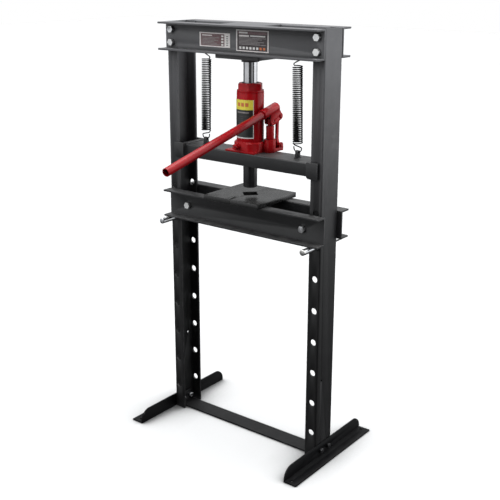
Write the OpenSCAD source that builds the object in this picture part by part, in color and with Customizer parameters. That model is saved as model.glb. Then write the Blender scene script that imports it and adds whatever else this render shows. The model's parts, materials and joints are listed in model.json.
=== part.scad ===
// Bench-height hydraulic shop press: an H-shaped frame of steel channels, a bed that rests on two
// pins, a sprung moving beam that carries a bottle jack, and a press ram under the beam.
// Origin: on the floor, at the centre of the frame. +X to the right, +Y to the rear, +Z up.

/* [Frame] */
// Width over the outer faces of the two uprights
frame_w = 531; // [440:1:640]
// Height of the uprights, which is the height of the press
frame_h = 1193; // [990:1:1435]
// Front-to-back depth of the upright channels
leg_d = 80; // [70:1:96]
// Width of the upright channels' flanges
leg_flange = 36; // [30:1:42]
// Wall of the upright channels
leg_wall = 5; // [4:0.5:6]
// Distance of the pin holes from the outer face of the upright
pin_hole_inset = 17; // [15:0.5:18]
// Height of the lowest pin hole
pin_hole_z0 = 77.4; // [60:0.1:90]
// Spacing of the pin holes
pin_hole_pitch = 91.6; // [78:0.1:98]
// Number of pin holes in each flange
pin_hole_count = 8; // [8:1:8]

/* [Feet] */
// Length of the foot angles
foot_len = 388; // [320:1:460]
// Width of both legs of the foot angles
foot_leg = 40; // [36:1:50]
// Wall of the foot angles
foot_wall = 4; // [3:0.5:6]
// Radius of the rounded ends of the upright legs of the angles
foot_end_r = 34; // [20:1:36]
// Distance of the floor anchor holes from the ends of the feet
anchor_inset = 14; // [10:1:30]
// Diameter of the floor anchor holes
anchor_d = 9; // [6:0.5:12]
// Width of the flat bar that joins the feet
crossbar_w = 52; // [46:1:58]

/* [Head] */
// Height of the head channels
head_h = 77; // [70:1:90]
// Flange width of the head channels, web included
head_flange = 39; // [32:1:44]
// Width of the plates that join the head channels
head_plate_w = 144; // [110:1:170]
// Thickness of the pressure plate under the head
head_plate_t = 12; // [8:1:16]

/* [Bed] */
// Height of the bed channels
bed_h = 79.5; // [70:0.5:90]
// Flange width of the bed channels, web included
bed_flange = 35; // [30:1:42]
// Overhang of the bed past the outer faces of the uprights
bed_overhang = 5; // [0:0.5:12]
// Sideways play that the loose bed has taken up
bed_shift = 8; // [-8:0.5:8]
// Distance of the bed's tie bolts from the outer faces of the uprights
bed_bolt_inset = 63.5; // [56:0.5:76]
// Diameter of the support pins
pin_d = 16.5; // [14:0.5:20]
// Play of the pins in their holes, all round
pin_play = 1; // [0.5:0.1:1.5]
// Length of the pins that stands out in front of the bed
pin_front = 27; // [20:1:34]
// Length of the pins that stands out behind the bed
pin_rear = 12; // [6:1:18]

/* [Arbor plates] */
// Width of each of the two plates
plate_w = 94; // [75:1:110]
// Depth of the plates
plate_d = 182; // [152:1:220]
// Thickness of the plates
plate_t = 14; // [10:1:16]

/* [Moving beam] */
// Height of the head above the top of the beam, at rest
beam_drop = 266; // [255:0.5:275]
// Sideways play of the beam and its brackets, on each side
beam_play = 8.5; // [7.5:0.5:14]
// Sideways place that the beam has taken up within its play
beam_shift = 7; // [-7:0.5:7]
// Height of the moving beam's channel
beam_h = 36; // [30:1:44]
// Diameter of the press ram
ram_d = 39; // [30:1:44]
// Length of the press ram below the beam's web
ram_len = 97; // [80:0.5:98]
// Thickness of the guide brackets at the ends of the beam
guide_wall = 8; // [5:0.5:9]
// Length of the brackets' arms, bracket wall included
guide_reach = 34; // [30:1:36]
// Play between the guide brackets and the uprights
guide_play = 1; // [0.5:0.1:1.5]

/* [Return springs] */
// Distance of the springs' lugs on the beam from the uprights' inner edges
spring_inset = 69.5; // [55:0.5:90]
// How much nearer the middle the springs hang from the head
spring_lean = 5.5; // [0:0.5:10]
// Outer diameter of the spring coils
spring_d = 28; // [24:0.5:30]
// Diameter of the spring wire
wire_d = 3.2; // [2.4:0.1:3.4]
// Number of coils
spring_turns = 41; // [30:1:45]

/* [Jack] */
// Outer diameter of the oil tank
tank_d = 75; // [72:0.5:90]
// Diameter of the jack's piston rod
rod_d = 38; // [34:0.2:46]
// Outer diameter of the pump handle
handle_d = 22; // [18:0.5:24]
// Length of the pump handle
handle_len = 456; // [380:1:520]
// Angle by which the handle slopes down at rest
handle_droop = 13.2; // [8:0.1:16]

/* [Hidden] */
$fn = 48;

// Fits and clearances
slide_gap = 0.3;        // between loose pieces that move past each other
run_gap = 0.05;         // radial clearance of a pin or piston in its bore
eps = 1;                // overrun of a cutting solid past the face that it cuts

// Frame
half_w = frame_w / 2;
half_d = leg_d / 2;
leg_inner = half_w - leg_flange;
corner_r = 4;
steel_paint = [0.20, 0.20, 0.21];
zinc = [0.78, 0.79, 0.80];
black_plate = [0.13, 0.13, 0.13];
jack_red = [0.70, 0.07, 0.08];
chrome = [0.88, 0.88, 0.90];
rubber = [0.08, 0.08, 0.08];
pin_hole_x = half_w - pin_hole_inset;
pin_hole_d = pin_d + 2 * pin_play;
web_hole = [19, 234];   // place of the small hole in each web: front-to-back, height
web_hole_d = 9;

// Metric fasteners: nominal diameter, width across flats, head height, nut height, hole
m10 = [10, 17, 6.4, 8, 10.6];
m8 = [8, 13, 5.3, 6.5, 8.6];

// Feet
foot_bolt_y = 18;
foot_bolt_z = 19;
crossbar_t = 5;
crossbar_end_h = 38;
anchor_x = half_w + (foot_wall + foot_leg) / 2 - 4;
anchor_y = foot_len / 2 - anchor_inset;

// Head
head_z0 = frame_h - head_h;
head_bolt_x = half_w - 20.5;
head_bolt_z = [head_z0 + 20, head_z0 + 56];
top_plate_t = 5;
plate_overlap = 22;     // how far the head plates reach under or over the channels
cup_wall = 5;
cup_play = 1;           // between the rod and the cup, on the diameter
cup_d = rod_d + cup_play + 2 * cup_wall;
cup_h = 10;
cup_z0 = head_z0 - head_plate_t - cup_h;
hanger_d = 8;
hanger_z = head_z0 + 4;

// Head labels: middle, width and height of each
label_t = 0.8;
label_left = [-87, head_z0 + 34, 107, 38];
label_right = [41, head_z0 + 37, 107, 56];

// Moving beam
beam_top = head_z0 - beam_drop;
beam_half = leg_inner - guide_wall - beam_play;
guide_over = 4;         // how far the brackets reach above and below the beam
guide_chamfer = 5;
ram_z0 = beam_top - leg_wall - ram_len;

// Bed: on pins that lie on the bottoms of the highest holes that leave room under the ram
work_gap = 10;          // least gap between the arbor plates and the ram
pin_drop = pin_play - run_gap;
bed_stack = pin_d / 2 - pin_drop + bed_h + plate_t + work_gap;
bed_hole = min(pin_hole_count - 1, floor((ram_z0 - bed_stack - pin_hole_z0) / pin_hole_pitch));
pin_z = pin_hole_z0 + bed_hole * pin_hole_pitch - pin_drop;
bed_z0 = pin_z + pin_d / 2;
bed_top = bed_z0 + bed_h;
bed_half = half_w + bed_overhang;
bed_bolt_x = half_w - bed_bolt_inset;
bed_bolt_z = bed_z0 + 37;
spacer_d = 20;

// Arbor plates: the square opening between them lets the ram through, corners to the sides
plate_notch = sqrt(2) * (ram_d / 2 + slide_gap);

// Return springs
lug_x = leg_inner - spring_inset;
hanger_x = lug_x - spring_lean;
coil_r = (spring_d - wire_d) / 2;
hook_bend = 3;
hook_gap = 0.3;
hook_tip = 2.5;         // straight end of each hook
lug_t = 9;
lug_foot = 15;          // front-to-back width of the lugs at the beam, and at the top
lug_head = 12;
lug_h = 21;
lug_hole_d = wire_d + 3.4;
lug_hole_z = beam_top + 14.5;
hook_rise = coil_r - sqrt(coil_r * coil_r - lug_t * lug_t / 4);   // of the hook, across the lug
hook_low_z = lug_hole_z + (lug_hole_d - wire_d) / 2 - hook_gap - hook_rise;
hook_high_z = hanger_z + (hanger_d + wire_d) / 2 + hook_gap;
coil_z0 = beam_top + 39;
coil_z1 = cup_z0 - 1;
coil_steps = 10;
wire_sides = 5;

// Jack: heights above the top of the beam
foot_plate_t = 4;
base_h = 29;
tank_h = 134;
tank_wall = 3;
cap_h = 25;
cap_collar_h = 6;
cap_af = rod_d + 24;    // across the flats of its hexagon
cylinder_bore = rod_d + 4;
cylinder_d = cylinder_bore + 12;
cylinder_floor = 12;
base_r = tank_d / 2 + 7;
tank_z0 = beam_top + base_h;
cap_z0 = tank_z0 + tank_h;
cap_z1 = cap_z0 + cap_h;
rod_top = cup_z0 + 4;
rod_z0 = beam_top + 66;
piston_h = 12;
screw_d = 20;
screw_head_d = rod_d - 5;
screw_hole_depth = 60;

// Label on the front of the tank
tank_label_z = [tank_z0 + 11, tank_z0 + 116];
tank_label_half_angle = 52;
tank_label_t = 0.35;
label_gap = 0.3;        // film of adhesive between the label and the tank

// Release valve
valve_x = -12;
valve_z = beam_top + 17;
valve_boss_r = 9;
valve_boss_y = -base_r - 2.5;
valve_stem_d = 9;
valve_head_d = 15;
valve_head_len = 9;

// Handle and its socket
socket_len = 66;
socket_wall = 2.2;
socket_bore = handle_d + 2 * slide_gap;
socket_r = socket_bore / 2 + socket_wall;
handle_wall = 2;
handle_start = 3;

// Pump, to the right of the tank, so that the handle's socket passes the tank
pump_clear = 3;
pump_at = [tank_d / 2 + pump_clear + socket_r, 18.5];
foot_plate = [-base_r - 12.5, pump_at[0] - 11];     // left and right edges of the foot plate
pump_boss_r = 16;
pump_boss_h = 36;
barrel_r = 11;
barrel_h = 37;
plunger_d = 12;
plunger_head_d = 15;
plunger_pin_z = beam_top + 85;
cross_pin_d = 8;
fulcrum = [52, beam_top + 96.5];    // rear, height of the lever's pivot
link_bend = [50.5, beam_top + 34];  // rear, height of the bend in the link
link_foot = [56, beam_top + 14];    // rear, height of the link's lower pivot
cheek_in = 8;                       // inner faces of the socket's cheeks, from its middle
cheek_t = 4;
link_t = 5.5;
link_w = 10;
link_r = 8;
ear_r = 9;
pin_lug_r = 10;
slot_play = 2;                      // length of the plunger pin's slot, towards the pivot
socket_rear = [45.3, beam_top + 121.1];     // rear end of the socket's axis: rear, height

// ---------- Helpers ----------

// Section of a channel: web at x = 0, flanges towards +x, middle of the web at y = 0
module channel_section(depth, flange, wall) {
    difference() {
        union() {
            translate([corner_r, -depth / 2]) square([flange - corner_r, depth]);
            translate([0, corner_r - depth / 2]) square([corner_r, depth - 2 * corner_r]);
            for (side = [-1, 1])
                translate([corner_r, side * (depth / 2 - corner_r)]) circle(corner_r);
        }
        translate([wall, wall - depth / 2]) square([flange, depth - 2 * wall]);
    }
}

// Lays a section drawn in (rear, up) along X, centred
module along_x(length) {
    rotate([90, 0, 90]) linear_extrude(length, center = true) children();
}

// Cylinder along X, and cylinder along Y, both from the given start
module bar_x(r, x0, x1, y, z) {
    translate([x0, y, z]) rotate([0, 90, 0]) cylinder(h = x1 - x0, r = r);
}

module bar_y(r, y0, y1, x, z) {
    translate([x, y0, z]) rotate([-90, 0, 0]) cylinder(h = y1 - y0, r = r);
}

// Hexagon head, with its washer face, on a shank: axis +Z out of the head, seat at z = 0
module hex_bolt(size, grip) {
    washer_t = 1.6;
    cylinder(h = washer_t, d = size[1]);
    translate([0, 0, washer_t]) cylinder(h = size[2], r = size[1] / sqrt(3), $fn = 6);
    translate([0, 0, -grip]) cylinder(h = grip, d = size[0]);
}

// Hexagon nut: seat at z = 0, body towards -Z
module hex_nut(size) {
    translate([0, 0, -size[3]])
        difference() {
            cylinder(h = size[3], r = size[1] / sqrt(3), $fn = 6);
            translate([0, 0, -eps]) cylinder(h = size[3] + 2 * eps, d = size[0] + 2 * run_gap);
        }
}

// ---------- Frame ----------

// Right-hand upright; the left one is the same piece turned round
module upright() {
    color(steel_paint)
        difference() {
            translate([half_w, 0, 0]) mirror([1, 0, 0])
                linear_extrude(frame_h) channel_section(leg_d, leg_flange, leg_wall);
            for (k = [0 : pin_hole_count - 1])
                bar_y(pin_hole_d / 2, -half_d - eps, half_d + eps, pin_hole_x,
                      pin_hole_z0 + k * pin_hole_pitch);
            for (z = head_bolt_z)
                bar_y(m10[4] / 2, -half_d - eps, half_d + eps, head_bolt_x, z);
            for (y = [-foot_bolt_y, foot_bolt_y])
                bar_x(m8[4] / 2, half_w - leg_wall - eps, half_w + eps, y, foot_bolt_z);
            bar_x(web_hole_d / 2, half_w - leg_wall - eps, half_w + eps, -web_hole[0], web_hole[1]);
        }
}

module upright_right() { upright(); }

module upright_left() { rotate([0, 0, 180]) upright(); }

// Right-hand foot angle: its standing leg lies against the upright's web
module foot() {
    color(steel_paint)
        difference() {
            union() {
                translate([half_w, 0, 0]) rotate([90, 0, 90]) linear_extrude(foot_wall)
                    intersection() {
                        union() {
                            translate([foot_end_r - foot_len / 2, 0])
                                square([foot_len - 2 * foot_end_r, foot_leg]);
                            for (side = [-1, 1])
                                translate([side * (foot_len / 2 - foot_end_r),
                                           foot_leg - foot_end_r])
                                    circle(foot_end_r, $fn = 96);
                            translate([-foot_len / 2, 0])
                                square([foot_len, foot_leg - foot_end_r]);
                        }
                        translate([-foot_len / 2, 0]) square([foot_len, foot_leg]);
                    }
                translate([half_w, -foot_len / 2, 0]) cube([foot_leg, foot_len, foot_wall]);
            }
            for (y = [-anchor_y, anchor_y])
                translate([anchor_x, y, -eps]) cylinder(h = foot_wall + 2 * eps, d = anchor_d);
            for (y = [-foot_bolt_y, foot_bolt_y])
                bar_x(m8[4] / 2, half_w - eps, half_w + foot_wall + eps, y, foot_bolt_z);
        }
}

module foot_right() { foot(); }

module foot_left() { rotate([0, 0, 180]) foot(); }

// Flat bar on the floor with its ends turned up against the webs
module base_crossbar() {
    inner = half_w - leg_wall;
    color(steel_paint)
        difference() {
            union() {
                translate([-inner, -crossbar_w / 2, 0]) cube([2 * inner, crossbar_w, crossbar_t]);
                for (x = [-inner, inner - crossbar_t])
                    translate([x, -crossbar_w / 2, 0])
                        cube([crossbar_t, crossbar_w, crossbar_end_h]);
            }
            for (y = [-foot_bolt_y, foot_bolt_y])
                bar_x(m8[4] / 2, -half_w, half_w, y, foot_bolt_z);
        }
}

// Places children at each foot bolt's seat, axis outwards
module at_foot_bolts() {
    for (turn = [0, 180], y = [-foot_bolt_y, foot_bolt_y])
        rotate([0, 0, turn]) translate([half_w + foot_wall, y, foot_bolt_z])
            rotate([0, 90, 0]) children();
}

foot_grip = foot_wall + leg_wall + crossbar_t;

module foot_bolts() {
    color(zinc) at_foot_bolts() hex_bolt(m8, foot_grip + m8[3] + 3);
}

module foot_nuts() {
    color(zinc) at_foot_bolts() translate([0, 0, -foot_grip]) hex_nut(m8);
}

// ---------- Head ----------

// Rear channel of the head or of the bed: web against the uprights, flanges to the rear
module cross_channel(length, z0, height, flange) {
    along_x(length)
        translate([half_d, z0 + height / 2]) channel_section(height, flange, leg_wall);
}

module head_bolt_holes() {
    for (x = [-head_bolt_x, head_bolt_x], z = head_bolt_z)
        bar_y(m10[4] / 2, half_d - eps, half_d + leg_wall + eps, x, z);
}

module head_channel() {
    color(steel_paint)
        difference() {
            cross_channel(frame_w, head_z0, head_h, head_flange);
            head_bolt_holes();
        }
}

module head_channel_rear() { head_channel(); }

module head_channel_front() { mirror([0, 1, 0]) head_channel(); }

// Plate that closes the middle of the head from above, level with the channels
module head_top_plate() {
    color(steel_paint)
        translate([-head_plate_w / 2, -half_d, frame_h - top_plate_t])
            cube([head_plate_w, leg_d, top_plate_t]);
}

// Plate under the head that the jack pushes against
module head_pressure_plate() {
    depth = leg_d + 2 * plate_overlap;
    color(steel_paint)
        translate([-head_plate_w / 2, -depth / 2, head_z0 - head_plate_t])
            cube([head_plate_w, depth, head_plate_t]);
}

// Ring that keeps the jack's rod in place under the plate
module ram_cup() {
    color(steel_paint)
        translate([0, 0, cup_z0])
            difference() {
                cylinder(h = cup_h, d = cup_d);
                translate([0, 0, -eps]) cylinder(h = cup_h + 2 * eps, d = rod_d + cup_play);
            }
}

// Places children at each head bolt's seat, axis outwards
module at_head_bolts() {
    for (turn = [0, 180], x = [-head_bolt_x, head_bolt_x], z = head_bolt_z)
        rotate([0, 0, turn]) translate([x, -half_d - leg_wall, z]) rotate([90, 0, 0]) children();
}

module head_bolts() {
    color(zinc) at_head_bolts() hex_bolt(m10, 2 * leg_wall + m10[3] + 3);
}

module head_nuts() {
    color(zinc) at_head_bolts() translate([0, 0, -2 * leg_wall]) hex_nut(m10);
}

// Rods between the head channels that the springs hang from
module spring_hangers() {
    color(zinc)
        for (x = [-hanger_x, hanger_x])
            bar_y(hanger_d / 2, -half_d, half_d, x, hanger_z);
}

module head_label(at) {
    translate([at[0] - at[2] / 2, -half_d - leg_wall - label_t, at[1] - at[3] / 2])
        cube([at[2], label_t, at[3]]);
}

module head_label_left() { color([0.45, 0.38, 0.38]) head_label(label_left); }

module head_label_right() { color([0.45, 0.38, 0.38]) head_label(label_right); }

// ---------- Return springs ----------

// Axis of the wire of an upright spring whose lugs lie to its -X side: each hook starts at a
// free tip at -X, goes round the far side and crosses back to the coil, where its last turn ends.
function hook(top_z, way) = let (centre = top_z - way * coil_r) concat(
    [for (k = [2 : -1 : 1]) [-coil_r, 0, centre - way * hook_tip * k / 2]],
    [for (a = [0 : 20 : 180]) [-coil_r * cos(a), 0, centre + way * coil_r * sin(a)]]
);

function crossing(z0, z1) = [
    for (k = [1 : 6])
        [coil_r * cos(30 * k), 0, z0 + (z1 - z0) * k / 6]
];

function coil() = let (
    start = asin(hook_bend / coil_r),
    sweep = 360 * spring_turns - 2 * start,
    count = round(coil_steps * spring_turns)
) [
    for (i = [0 : count])
        let (a = 180 + start + sweep * i / count)
        [coil_r * cos(a), coil_r * sin(a),
         coil_z0 + (coil_z1 - coil_z0) * i / count]
];

function reversed(list) = [for (i = [len(list) - 1 : -1 : 0]) list[i]];

low_end = concat(hook(hook_low_z, -1), crossing(hook_low_z + coil_r, coil_z0 - hook_bend));
high_end = concat(hook(hook_high_z, 1), crossing(hook_high_z - coil_r, coil_z1 + hook_bend));
spring_path = concat(low_end, coil(), reversed(high_end));

function unit(v) = v / norm(v);

// Ring of points round the wire; the hooks lie in the XZ plane
function wire_ring(i) = let (
    last = len(spring_path) - 1,
    t = unit(spring_path[min(i + 1, last)] - spring_path[max(i - 1, 0)]),
    in_hook = i < len(low_end) || i > last - len(high_end),
    u = unit(cross(t, in_hook ? [0, 1, 0] : [0, 0, 1])),
    v = cross(u, t)
) [
    for (k = [0 : wire_sides - 1])
        let (p = spring_path[i] + wire_d / 2
                * (cos(360 * k / wire_sides) * u + sin(360 * k / wire_sides) * v))
        [lug_x - spring_lean * (p[2] - hook_low_z) / (hook_high_z - hook_low_z) + p[0], p[1], p[2]]
];

// Right-hand spring, which leans towards the middle at the top
module return_spring() {
    last = len(spring_path) - 1;
    points = [for (i = [0 : last]) each wire_ring(i)];
    sides = [
        for (i = [0 : last - 1], k = [0 : wire_sides - 1])
            let (next = (k + 1) % wire_sides, a = i * wire_sides, b = a + wire_sides)
            each [[a + k, a + next, b + next], [a + k, b + next, b + k]]
    ];
    ends = [
        [for (k = [wire_sides - 1 : -1 : 0]) k],
        [for (k = [0 : wire_sides - 1]) last * wire_sides + k]
    ];
    color(black_plate) polyhedron(points, concat(sides, ends), convexity = 10);
}

module return_spring_left() { rotate([0, 0, 180]) return_spring(); }

module return_spring_right() { return_spring(); }

// ---------- Bed ----------

module bed_channel() {
    color(steel_paint)
        difference() {
            cross_channel(2 * bed_half, bed_z0, bed_h, bed_flange);
            for (x = [-bed_bolt_x, bed_bolt_x])
                bar_y(m10[4] / 2, half_d - eps, half_d + leg_wall + eps, x, bed_bolt_z);
        }
}

module bed_channel_rear() { translate([bed_shift, 0, 0]) bed_channel(); }

module bed_channel_front() { translate([bed_shift, 0, 0]) mirror([0, 1, 0]) bed_channel(); }

// Tubes round the tie bolts that hold the bed channels apart
module bed_spacers() {
    color(steel_paint)
        translate([bed_shift, 0, 0])
            for (x = [-bed_bolt_x, bed_bolt_x])
                difference() {
                    bar_y(spacer_d / 2, -half_d, half_d, x, bed_bolt_z);
                    bar_y(m10[4] / 2, -half_d - eps, half_d + eps, x, bed_bolt_z);
                }
}

// Places children at each tie bolt's seat on the front channel, axis to the front
module at_bed_bolts() {
    for (x = [-bed_bolt_x, bed_bolt_x])
        translate([x + bed_shift, -half_d - leg_wall, bed_bolt_z]) rotate([90, 0, 0]) children();
}

bed_grip = leg_d + 2 * leg_wall;

module bed_bolts() {
    color(zinc) at_bed_bolts() hex_bolt(m10, bed_grip + m10[3] + 3);
}

module bed_nuts() {
    color(zinc) at_bed_bolts() translate([0, 0, -bed_grip]) hex_nut(m10);
}

// Plain pin with chamfered ends, through both flanges of an upright and under the bed
module support_pin(x) {
    y0 = -half_d - bed_flange - pin_front;
    length = leg_d + 2 * bed_flange + pin_front + pin_rear;
    chamfer = 1.5;
    color(zinc)
        translate([x, y0, pin_z]) rotate([-90, 0, 0])
            rotate_extrude()
                polygon([[0, 0], [pin_d / 2 - chamfer, 0], [pin_d / 2, chamfer],
                         [pin_d / 2, length - chamfer], [pin_d / 2 - chamfer, length],
                         [0, length]]);
}

module support_pin_left() { support_pin(-pin_hole_x); }

module support_pin_right() { support_pin(pin_hole_x); }

// Right-hand arbor plate, with a V-notch in the edge that meets the other plate
module arbor_plate() {
    color(black_plate)
        translate([0, 0, bed_top])
            linear_extrude(plate_t)
                polygon([[slide_gap / 2, -plate_d / 2], [plate_w, -plate_d / 2],
                         [plate_w, plate_d / 2], [slide_gap / 2, plate_d / 2],
                         [slide_gap / 2, plate_notch], [plate_notch, 0],
                         [slide_gap / 2, -plate_notch]]);
}

module arbor_plate_right() { arbor_plate(); }

// The left-hand plate also has a small lifting hole near its front edge
module arbor_plate_left() {
    lift_hole = [-14, 9];
    difference() {
        mirror([1, 0, 0]) arbor_plate();
        translate([lift_hole[0], lift_hole[1] - plate_d / 2, bed_top - eps])
            cylinder(h = plate_t + 2 * eps, d = 5);
    }
}

// ---------- Moving beam ----------

// Channel laid flat, web up
module moving_beam() {
    color(steel_paint)
        translate([beam_shift, 0, beam_top]) along_x(2 * beam_half)
            rotate(-90) channel_section(leg_d, beam_h, leg_wall);
}

// Bracket at the right-hand end, open outwards, whose arms run on the upright's flanges
module guide_bracket() {
    inner_d = leg_d + 2 * guide_play;
    outer_d = inner_d + 2 * guide_wall;
    height = beam_h + 2 * guide_over;
    color(steel_paint)
        translate([beam_half, 0, beam_top - beam_h - guide_over])
            difference() {
                translate([0, outer_d / 2, 0]) rotate([90, 0, 0]) linear_extrude(outer_d)
                    polygon([[0, guide_chamfer], [guide_chamfer, 0], [guide_reach, 0],
                             [guide_reach, height], [0, height]]);
                translate([guide_wall, -inner_d / 2, -eps])
                    cube([guide_reach, inner_d, height + 2 * eps]);
            }
}

module guide_bracket_right() { translate([beam_shift, 0, 0]) guide_bracket(); }

module guide_bracket_left() { translate([beam_shift, 0, 0]) mirror([1, 0, 0]) guide_bracket(); }

// Flat lugs with a hole for the springs' lower hooks
module spring_lugs() {
    round_z = lug_h - lug_head / 2;
    color(black_plate)
        for (x = [-lug_x, lug_x])
            difference() {
                translate([x, 0, beam_top]) along_x(lug_t) {
                    polygon([[-lug_foot / 2, 0], [lug_foot / 2, 0],
                             [lug_head / 2, round_z], [-lug_head / 2, round_z]]);
                    translate([0, round_z]) circle(lug_head / 2);
                }
                bar_x(lug_hole_d / 2, x - lug_t, x + lug_t, 0, lug_hole_z);
            }
}

// Plain press ram, chamfered at its lower end
module press_ram() {
    chamfer = 1.5;
    color(black_plate)
        translate([0, 0, ram_z0])
            rotate_extrude($fn = 96)
                polygon([[0, 0], [ram_d / 2 - chamfer, 0], [ram_d / 2, chamfer],
                         [ram_d / 2, ram_len], [0, ram_len]]);
}

// ---------- Jack ----------

// Casting with its foot plate, the socket for the cylinder, the bosses of valve and pump, and
// two ears for the link
module jack_base() {
    plate_len = foot_plate[1] - foot_plate[0];
    ear_x = pump_at[0] - cheek_in - cheek_t;
    ear_span = 2 * (cheek_in + cheek_t);
    rib_t = 7;
    barrel_socket = 18;
    color(jack_red)
        difference() {
            translate([0, 0, beam_top]) union() {
                translate([foot_plate[0], -half_d, 0]) cube([plate_len, leg_d, foot_plate_t]);
                intersection() {
                    rotate_extrude($fn = 96)
                        polygon([[0, 0], [base_r, 0], [base_r, base_h - 3], [base_r - 3, base_h],
                                 [0, base_h]]);
                    translate([-base_r, -half_d, 0]) cube([2 * base_r, leg_d, base_h]);
                }
                translate([0, -rib_t / 2, 0]) rotate([90, 0, 0]) mirror([0, 0, 1])
                    linear_extrude(rib_t)
                        polygon([[foot_plate[0] + 2, foot_plate_t], [0, foot_plate_t],
                                 [0, base_h - 5], [-base_r, base_h - 5]]);
                translate([pump_at[0], pump_at[1], 0]) cylinder(h = pump_boss_h, r = pump_boss_r);
                translate([0, pump_at[1] - pump_boss_r, 0])
                    cube([pump_at[0], 2 * pump_boss_r, base_h - 5]);
                bar_y(valve_boss_r, valve_boss_y, 0, valve_x, valve_z - beam_top);
                translate([ear_x, pump_at[1], 0]) cube([ear_span, link_foot[0] - pump_at[1], ear_r]);
                translate([ear_x, link_foot[0] - ear_r, 0])
                    cube([ear_span, 2 * ear_r, link_foot[1] - beam_top]);
                bar_x(ear_r, ear_x, ear_x + ear_span, link_foot[0], link_foot[1] - beam_top);
            }
            translate([0, 0, beam_top + cylinder_floor])
                cylinder(h = base_h, d = cylinder_d + 2 * run_gap, $fn = 96);
            translate([pump_at[0], pump_at[1], beam_top + pump_boss_h - barrel_socket])
                cylinder(h = barrel_socket + eps, r = barrel_r - 2 + run_gap);
            bar_y(valve_stem_d / 2 + run_gap, valve_boss_y - eps, valve_boss_y + 14, valve_x, valve_z);
            bar_x(cross_pin_d / 2 + run_gap, 0, 2 * pump_at[0], link_foot[0], link_foot[1]);
            translate([pump_at[0] - cheek_in, link_foot[0] - ear_r - 1, beam_top + foot_plate_t])
                cube([2 * cheek_in, 2 * ear_r + 2, pump_boss_h]);
        }
}

// Oil tank: a plain tube between the base and the cap
module jack_tank() {
    color(jack_red)
        translate([0, 0, tank_z0])
            difference() {
                cylinder(h = tank_h, d = tank_d, $fn = 96);
                translate([0, 0, -eps])
                    cylinder(h = tank_h + 2 * eps, d = tank_d - 2 * tank_wall, $fn = 96);
                translate([0, 0, tank_h - 24]) rotate([-90, 0, 0])
                    cylinder(h = tank_d, r = 4 + run_gap);
            }
}

// Inner cylinder that the piston runs in
module jack_cylinder() {
    z0 = beam_top + cylinder_floor;
    color(zinc)
        translate([0, 0, z0])
            difference() {
                cylinder(h = cap_z0 - z0, d = cylinder_d, $fn = 96);
                translate([0, 0, 4]) cylinder(h = cap_z0 - z0, d = cylinder_bore, $fn = 96);
            }
}

// Hexagonal cap with a round collar on the tank
module jack_cap() {
    corner = cap_af / sqrt(3);
    color(jack_red)
        translate([0, 0, cap_z0])
            difference() {
                union() {
                    cylinder(h = cap_collar_h, d = tank_d - 1, $fn = 96);
                    intersection() {
                        cylinder(h = cap_h, r = corner, $fn = 6);
                        rotate_extrude($fn = 96)
                            polygon([[0, 0], [corner, 0], [corner, cap_h - 3],
                                     [cap_af / 2 - 1, cap_h], [0, cap_h]]);
                    }
                }
                translate([0, 0, -eps])
                    cylinder(h = cap_h + 2 * eps, d = rod_d + 2 * run_gap, $fn = 96);
                translate([0, 0, cap_h - 3])
                    cylinder(h = 3 + eps, d = rod_d + 6, $fn = 96);
            }
}

// Rubber ring in the top of the cap
module wiper_seal() {
    color(rubber)
        translate([0, 0, cap_z1 - 3])
            difference() {
                cylinder(h = 3.6, d = rod_d + 6 - 2 * run_gap, $fn = 96);
                translate([0, 0, -eps]) cylinder(h = 3.6 + 2 * eps, d = rod_d + 4 * run_gap, $fn = 96);
            }
}

// Piston and rod in one piece, bored for the extension screw
module jack_piston_rod() {
    groove_d = cylinder_bore - 6;
    color(chrome)
        difference() {
            union() {
                translate([0, 0, rod_z0]) cylinder(h = rod_top - rod_z0, d = rod_d, $fn = 96);
                translate([0, 0, rod_z0])
                    difference() {
                        cylinder(h = piston_h, d = cylinder_bore - 2 * run_gap, $fn = 96);
                        translate([0, 0, 4])
                            difference() {
                                cylinder(h = 4, d = cylinder_bore + eps, $fn = 96);
                                translate([0, 0, -eps])
                                    cylinder(h = 4 + 2 * eps, d = groove_d, $fn = 96);
                            }
                    }
            }
            translate([0, 0, rod_top - screw_hole_depth])
                cylinder(h = screw_hole_depth + eps, d = screw_d + 2 * run_gap);
        }
}

// Cup ring in the piston's groove
module piston_seal() {
    color(rubber)
        translate([0, 0, rod_z0 + 4 + run_gap])
            difference() {
                cylinder(h = 4 - 2 * run_gap, d = cylinder_bore - 2 * run_gap, $fn = 96);
                translate([0, 0, -eps]) cylinder(h = 4 + 2 * eps, d = rod_d + 0.4, $fn = 96);
            }
}

// Extension screw, wound right in, whose head bears on the pressure plate inside the cup
module extension_screw() {
    head_h = head_z0 - head_plate_t - rod_top;
    color(zinc) {
        translate([0, 0, rod_top]) cylinder(h = head_h, d = screw_head_d);
        translate([0, 0, rod_top - screw_hole_depth + 4])
            cylinder(h = screw_hole_depth - 4, d = screw_d);
    }
}

// Label wrapped round the front of the tank
module tank_label() {
    color([0.85, 0.80, 0.15])
        translate([0, 0, tank_label_z[0]])
            rotate([0, 0, -90 - tank_label_half_angle])
                rotate_extrude(angle = 2 * tank_label_half_angle, $fn = 96)
                    translate([tank_d / 2 + label_gap, 0])
                        square([tank_label_t, tank_label_z[1] - tank_label_z[0]]);
}

// Rubber plug of the oil filler, at the back of the tank
module filler_plug() {
    color(rubber)
        translate([0, 0, tank_z0 + tank_h - 24]) rotate([-90, 0, 0]) {
            translate([0, 0, tank_d / 2 - tank_wall]) cylinder(h = tank_wall + 1, r = 4);
            translate([0, 0, tank_d / 2 + 0.4]) cylinder(h = 2.6, r = 6.5);
        }
}

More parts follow.
